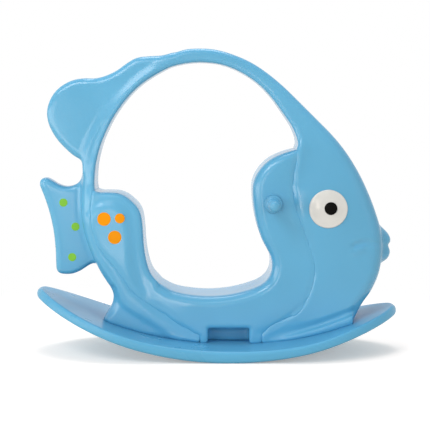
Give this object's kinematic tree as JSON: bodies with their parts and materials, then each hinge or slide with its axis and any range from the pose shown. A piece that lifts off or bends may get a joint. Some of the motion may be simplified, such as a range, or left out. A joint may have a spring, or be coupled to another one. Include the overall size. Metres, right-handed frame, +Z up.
{
  "type": "rocking fish",
  "caption": "Fish-shaped hollow plastic rocker for a small child: ring body with fin and tail, moulded seat, hand grips and a wide curved rocker board.",
  "frame": {"origin": "middle of the bounding box's bottom face, on the floor the rocker stands on", "axes": "+X along the fish towards its nose, +Y towards its left side, +Z up"},
  "size_m": [1.0055, 0.449, 0.839],
  "materials": {
    "fish_blue": "glossy rotomoulded polyethylene",
    "eye_white": "glossy moulded",
    "pupil_black": "glossy moulded",
    "spot_green": "satin moulded",
    "spot_orange": "satin moulded",
    "zinc_steel": "zinc plated",
    "insert_brass": "turned"
  },
  "bodies": {
    "root": {"body_bolt_1": "zinc_steel", "body_bolt_2": "zinc_steel", "body_bolt_3": "zinc_steel", "body_bolt_4": "zinc_steel", "body_insert_1": "insert_brass", "body_insert_2": "insert_brass", "body_insert_3": "insert_brass", "body_insert_4": "insert_brass", "body_washer_1": "zinc_steel", "body_washer_2": "zinc_steel", "body_washer_3": "zinc_steel", "body_washer_4": "zinc_steel", "cradle_bolt_1": "zinc_steel", "cradle_bolt_2": "zinc_steel", "cradle_insert_1": "insert_brass", "cradle_insert_2": "insert_brass", "cradle_washer_1": "zinc_steel", "cradle_washer_2": "zinc_steel", "eye_left": "eye_white", "eye_right": "eye_white", "fish_body": "fish_blue", "hand_grip_left": "fish_blue", "hand_grip_right": "fish_blue", "handle_rod": "zinc_steel", "pupil_left": "pupil_black", "pupil_right": "pupil_black", "rocker_board": "fish_blue", "seat_cradle": "fish_blue", "side_spot_left_1": "spot_orange", "side_spot_left_2": "spot_orange", "side_spot_left_3": "spot_orange", "side_spot_right_1": "spot_orange", "side_spot_right_2": "spot_orange", "side_spot_right_3": "spot_orange", "tail_spot_left_1": "spot_green", "tail_spot_left_2": "spot_green", "tail_spot_left_3": "spot_green", "tail_spot_right_1": "spot_green", "tail_spot_right_2": "spot_green", "tail_spot_right_3": "spot_green", "vent_plug": "fish_blue"}
  },
  "joints": []
}
